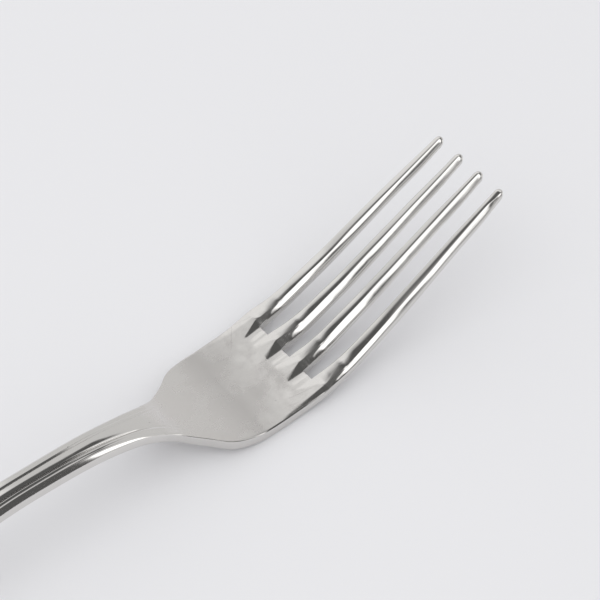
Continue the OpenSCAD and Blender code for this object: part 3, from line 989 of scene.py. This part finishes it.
class FORK_OT_handle(BuildPart, bpy.types.Operator):
    """Make the tapering stem of the handle, with its rims, grooves and crowned panel"""

    bl_idname = "fork.handle"
    bl_label = "Handle"

    def execute(self, context):
        shape = self.shape(context)
        rows = [mirrored(straight_section(shape, x)) for x in places(END_X, NECK_X, BAR_RING)]
        finish_piece("handle_steel", skin(rows, closed=True), (END_X, NECK_X), ["handle"], steel())
        return {"FINISHED"}


class FORK_OT_neck(BuildPart, bpy.types.Operator):
    """Make the neck, where the threads fade out and the handle bends down to the head"""

    bl_idname = "fork.neck"
    bl_label = "Neck"

    def execute(self, context):
        shape = self.shape(context)
        rows = [mirrored(straight_section(shape, x)) for x in places(NECK_X, PLATE_X, RING)]
        finish_piece("neck_steel", skin(rows, closed=True), (NECK_X, PLATE_X), ["neck"], steel())
        return {"FINISHED"}


class FORK_OT_head(BuildPart, bpy.types.Operator):
    """Make the head's slightly hollow plate, with the ramps that lead into the slots"""

    bl_idname = "fork.head"
    bl_label = "Head plate"

    def execute(self, context):
        shape = self.shape(context)
        xs = places(PLATE_X, SLOT_X - RAMP_L, RING, ghost_b=False)[:-1]
        xs += places(SLOT_X - RAMP_L, SLOT_X, RING / 2, False, False)
        rows = [mirrored(plate_section(shape, x, 1), plate_section(shape, x, -1)) for x in xs]
        finish_piece("head_steel", skin(rows, closed=True), (PLATE_X, SLOT_X), ["root_plate"], steel())
        return {"FINISHED"}


class FORK_OT_tines(BuildPart, bpy.types.Operator):
    """Make the four tines, with rounded shoulders and blunt tips"""

    bl_idname = "fork.tines"
    bl_label = "Tines"

    def execute(self, context):
        shape = self.shape(context)
        xs = places(SLOT_X, SLOT_X + GROUND_L, RING / 2, False, False)[:-1]
        xs += places(SLOT_X + GROUND_L, TIP_X - NOSE_L, RING, False, False)[:-1]
        steps = 12
        xs += [TIP_X - NOSE_L * (1 - math.sin(math.pi / 2 * i / steps)) for i in range(steps + 1)]
        for node, side, outer in (
            ("tine_outer_left", 1, True),
            ("tine_inner_left", 1, False),
            ("tine_inner_right", -1, False),
            ("tine_outer_right", -1, True),
        ):
            rows = [tine_ring(shape, x, node, side, outer) for x in xs]
            finish_piece(node + "_steel", skin(rows, closed=True), (SLOT_X, TIP_X), [node], steel())
        return {"FINISHED"}


class FORK_OT_stage(bpy.types.Operator):
    """Make the table, the soft light and the camera"""

    bl_idname = "fork.stage"
    bl_label = "Stage"

    def execute(self, context):
        stage = context.scene.fork_stage
        make_table(stage)
        make_light()
        make_camera(context.scene, stage)
        return {"FINISHED"}


def make_table(stage):
    """A matt pale table top."""
    bm = bmesh.new()
    bmesh.ops.create_grid(bm, x_segments=2, y_segments=2, size=stage.reach)
    mesh = bpy.data.meshes.new("table_top")
    bm.to_mesh(mesh)
    bm.free()
    table = bpy.data.objects.new("table_top", mesh)
    bpy.context.scene.collection.objects.link(table)
    material = bpy.data.materials.new("table_pale")
    material.use_nodes = True
    n = Nodes(material.node_tree)
    surface = n.add("ShaderNodeBsdfPrincipled", None, Roughness=0.9)
    surface.inputs["Base Color"].default_value = rgba(stage.table_colour)
    surface.inputs["Specular IOR Level"].default_value = 0.1
    n.add("ShaderNodeOutputMaterial", None, surface.outputs[0])
    mesh.materials.append(material)


# What the steel sees round it, over an even grey. Each soft box or dark gap is a rectangle on a
# flat map of the sky, in degrees from straight up: its middle (right, back), its half sizes, how
# far it is turned, how soft its edges are, and how bright it is. Later ones lie over earlier ones.
SKY = 0.72
STUDIO = (
    ("backdrop_lit", (2, 76), (15, 50), 0, 4, 1.0),
    ("left_low", (-24, -84), (29, 45), 0, 6, 0.56),
    ("box_frame_left", (-31.5, -18.9), (38, 3.6), -72, 1.5, 0.13),
    ("box_frame_low", (-5.3, -53.5), (5, 12), -72, 1.5, 0.2),
    ("window_box", (-16.1, -13.9), (38.5, 13), -72, 2.5, 1.6),
    ("left_gap", (-14.5, 35), (12, 26), 0, 6, 0.11),
    ("left_gap_pale", (-31, 45), (7, 13), 0, 4, 0.36),
    ("middle_gap", (0, 3), (9, 17), 0, 3, 0.15),
    ("camera_side", (18.6, -52), (12.8, 73), 5.7, 3, 0.11),
    ("low_fill", (10, -104), (13, 13), 0, 4, 0.55),
    ("camera_side_right", (31, 10), (17, 9), 38, 3, 0.11),
    ("low_box", (41, -59), (8.5, 12), 10, 3, 2.0),
)


def make_light():
    """A soft studio: even light on the table, and soft boxes and dark gaps for the steel to reflect."""
    world = bpy.data.worlds.new("soft_studio")
    world.use_nodes = True
    n = Nodes(world.node_tree)
    where = n.add("ShaderNodeTexCoord").outputs["Generated"]
    glossy = n.add("ShaderNodeLightPath").outputs["Is Glossy Ray"]
    parts = n.add("ShaderNodeSeparateXYZ", None, where)
    x, y, z = (Value(n, parts.outputs[i]) for i in range(3))
    tilt = z.apply("ARCCOSINE") * (180 / math.pi)
    tiny = 1e-6
    flat = (x * x + y * y).most(tiny).apply("SQRT")
    right, back = x / flat * tilt, y / flat * tilt
    level = SKY
    for _, (at_right, at_back), (half_u, half_v), turn, edge, bright in STUDIO:
        c, s = math.cos(math.radians(turn)), math.sin(math.radians(turn))
        u = ((right - at_right) * c + (back - at_back) * s).apply("ABSOLUTE")
        v = ((back - at_back) * c - (right - at_right) * s).apply("ABSOLUTE")
        share = (1 - u.band(half_u - edge, half_u + edge)) * (1 - v.band(half_v - edge, half_v + edge))
        level = share * (bright - level) + level
    studio = n.add("ShaderNodeBackground", None, (1, 1, 1, 1), level)
    plain = n.add("ShaderNodeBackground", None, (1, 1, 1, 1), EVEN_LIGHT)
    both = n.add("ShaderNodeMixShader", None, glossy, plain.outputs[0], studio.outputs[0])
    n.add("ShaderNodeOutputWorld", None, both.outputs[0])
    bpy.context.scene.world = world

    lamp = bpy.data.lights.new("window", "AREA")
    lamp.shape, lamp.size, lamp.energy = "DISK", LAMP_WIDTH, LAMP_POWER
    window = bpy.data.objects.new("window", lamp)
    window.location = LAMP_AT
    window.rotation_euler = (Vector(LAMP_AIM) - window.location).to_track_quat("-Z", "Y").to_euler()
    window.visible_glossy = False
    window.visible_camera = False
    bpy.context.scene.collection.objects.link(window)


def make_camera(scene, stage):
    """The camera of the photograph, and a view transform that leaves the colours as they are."""
    data = bpy.data.cameras.new("camera")
    data.lens, data.sensor_width = stage.lens, SENSOR
    data.clip_start, data.clip_end = 0.01, 20
    camera = bpy.data.objects.new("camera", data)
    scene.collection.objects.link(camera)
    a, e = stage.azimuth, stage.elevation
    away = Vector((math.sin(a) * math.cos(e), -math.cos(a) * math.cos(e), math.sin(e)))
    target = Vector(CAMERA_TARGET) * MM
    camera.location = target + away * stage.distance
    roll = Matrix.Rotation(stage.roll, 3, "Z")
    camera.rotation_mode = "QUATERNION"
    camera.rotation_quaternion = ((-away).to_track_quat("-Z", "Y").to_matrix() @ roll).to_quaternion()
    scene.camera = camera
    scene.view_settings.view_transform = "Standard"


class FORK_PT_panel(bpy.types.Panel):
    """Lists the fork's pieces"""

    bl_idname = "FORK_PT_panel"
    bl_label = "Dinner fork"
    bl_space_type = "VIEW_3D"
    bl_region_type = "UI"
    bl_category = "Fork"

    def draw(self, context):
        for cls in OPERATORS:
            self.layout.operator(cls.bl_idname)


GROUPS = ((ForkSizes, "fork_sizes"), (SteelFinish, "fork_finish"), (StageSizes, "fork_stage"))
OPERATORS = (FORK_OT_handle_end, FORK_OT_handle, FORK_OT_neck, FORK_OT_head, FORK_OT_tines, FORK_OT_stage)


def register():
    """Adds the sizes, the operators and the panel."""
    for cls, name in GROUPS:
        bpy.utils.register_class(cls)
        setattr(bpy.types.Scene, name, PointerProperty(type=cls))
    for cls in (*OPERATORS, FORK_PT_panel):
        bpy.utils.register_class(cls)


def unregister():
    """Takes them out again."""
    for cls in (FORK_PT_panel, *reversed(OPERATORS)):
        bpy.utils.unregister_class(cls)
    for cls, name in reversed(GROUPS):
        delattr(bpy.types.Scene, name)
        bpy.utils.unregister_class(cls)


def main():
    """Builds the pieces and the stage."""
    register()
    bpy.ops.fork.handle_end()
    bpy.ops.fork.handle()
    bpy.ops.fork.neck()
    bpy.ops.fork.head()
    bpy.ops.fork.tines()
    bpy.ops.fork.stage()


if __name__ == "__main__":
    main()
